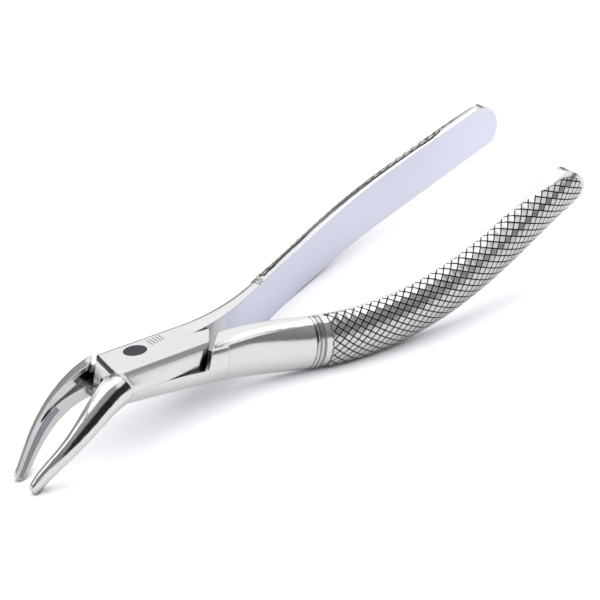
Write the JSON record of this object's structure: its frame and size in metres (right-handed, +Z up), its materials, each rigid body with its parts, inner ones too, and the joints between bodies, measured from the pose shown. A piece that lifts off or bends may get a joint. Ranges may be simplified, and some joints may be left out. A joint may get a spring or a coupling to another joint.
{
  "type": "dental extraction forceps",
  "caption": "Lap-jointed dental root extraction forceps with down-bent tapering beaks, knurled bowed handles and a pivot screw.",
  "frame": {"origin": "on the table under the middle of the forceps' bounding box, as they lie at rest on the beak tips and the handles' bellies", "axes": "+X from the joint towards the handle ends, +Y towards the marked half's handle, +Z up from the table"},
  "size_m": [0.1652, 0.045, 0.0273],
  "materials": {
    "instrument_steel": "polished, with a satin inner handle face and cross-cut grips",
    "screw_steel": "turned and polished"
  },
  "bodies": {
    "marked_side": {"marked_half": "instrument_steel", "pivot_screw": "screw_steel"},
    "plain_side": {"plain_half": "instrument_steel"}
  },
  "joints": [
    {"name": "pivot", "type": "hinge", "parent": "marked_side", "child": "plain_side", "pos_m": [-0.04518, 0, 0.01505], "axis": [0.2045, 0, 0.9789], "range_deg": [-30, 8]}
  ]
}
